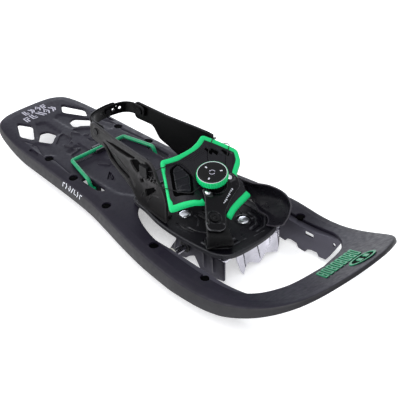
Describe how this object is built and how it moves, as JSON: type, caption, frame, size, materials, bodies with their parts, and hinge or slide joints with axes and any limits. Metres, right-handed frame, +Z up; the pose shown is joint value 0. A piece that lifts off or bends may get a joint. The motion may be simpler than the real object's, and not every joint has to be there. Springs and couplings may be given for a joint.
{
  "type": "snowshoe",
  "caption": "Moulded-deck snowshoe with toothed traction rails, a pivoting dial-and-lace binding over a toe crampon, and a fold-up wire heel lift.",
  "frame": {"origin": "on the ground under the middle of the deck, level with the rail teeth", "axes": "+Y towards the toe, +X to the wearer's right, +Z up"},
  "size_m": [0.2076, 0.592, 0.1148],
  "materials": {
    "deck_plastic": "satin injection-moulded, dark purple-grey",
    "binding_plastic": "satin black moulded",
    "arm_plastic": "satin charcoal moulded with truss relief",
    "soft_black": "soft moulded elastomer, fine grain",
    "green_rubber": "matte green elastomer",
    "green_wire": "green powder-coated wire",
    "rail_steel": "dark coated steel",
    "crampon_steel": "bright stamped steel",
    "rivet_steel": "polished rivet heads",
    "axle_steel": "turned steel",
    "nylon": "natural nylon",
    "dial_face": "gloss black cap",
    "clip_grey": "grey moulded",
    "lace_wire": "coated braided steel lace"
  },
  "bodies": {
    "deck_frame": {"deck": "deck_plastic", "left_rail": "rail_steel", "right_rail": "rail_steel", "rail_rivets": "axle_steel", "pivot_axle": "axle_steel", "axle_bushings": "nylon", "axle_clips": "axle_steel", "bail_brackets": "binding_plastic", "bail_clip": "clip_grey", "toe_badge": "green_rubber"},
    "binding": {"toe_crampon": "crampon_steel", "crampon_bushings": "nylon", "footbed": "binding_plastic", "footbed_rivets": "rivet_steel", "right_arm": "arm_plastic", "left_arm": "binding_plastic", "arm_rivets": "axle_steel", "lace_guides": "binding_plastic", "instep_hood": "soft_black", "hood_rim": "green_rubber", "front_rim": "green_rubber", "hood_insert": "soft_black", "tongue": "binding_plastic", "hood_rivets": "rivet_steel", "tongue_button": "binding_plastic", "toe_strap": "soft_black", "toe_cup": "soft_black", "toe_rivets": "axle_steel", "dial_base": "binding_plastic", "dial_post": "axle_steel", "lace": "lace_wire", "heel_strap_rivets": "axle_steel"},
    "spool": {"dial_spool": "nylon"},
    "dial_carrier": {"dial_core": "nylon"},
    "dial_grip": {"dial_ring": "green_rubber", "dial_cap": "dial_face"},
    "heel_strap_loop": {"heel_strap": "soft_black", "strap_keeper": "binding_plastic", "strap_stud": "axle_steel"},
    "bail": {"heel_lift_bail": "green_wire"}
  },
  "joints": [
    {"name": "binding_pivot", "type": "hinge", "parent": "deck_frame", "child": "binding", "pos_m": [0, 0.082, 0.025], "axis": [-1, 0, 0], "range_deg": [0, 60]},
    {"name": "bail_swing", "type": "hinge", "parent": "deck_frame", "child": "bail", "pos_m": [0, -0.078, 0.027], "axis": [-1, 0, 0], "range_deg": [0, 92]},
    {"name": "heel_strap_swing", "type": "hinge", "parent": "binding", "child": "heel_strap_loop", "pos_m": [0, -0.08, 0.103], "axis": [-1, 0, 0], "range_deg": [-10, 50]},
    {"name": "dial_lift", "type": "slide", "parent": "binding", "child": "dial_carrier", "axis": [0.1862, 0.1115, 0.9762], "range_m": [0, 0.002]},
    {"name": "dial_turn", "type": "hinge", "parent": "dial_carrier", "child": "dial_grip", "pos_m": [-0.001, 0.0787, 0.0902], "axis": [0.1862, 0.1115, 0.9762], "continuous": true},
    {"name": "spool_turn", "type": "hinge", "parent": "binding", "child": "spool", "pos_m": [-0.001, 0.0787, 0.0902], "axis": [0.1862, 0.1115, 0.9762], "continuous": true}
  ],
  "couplings": [
    {"joint": "spool_turn", "follows": "dial_turn", "ratio": 1}
  ]
}
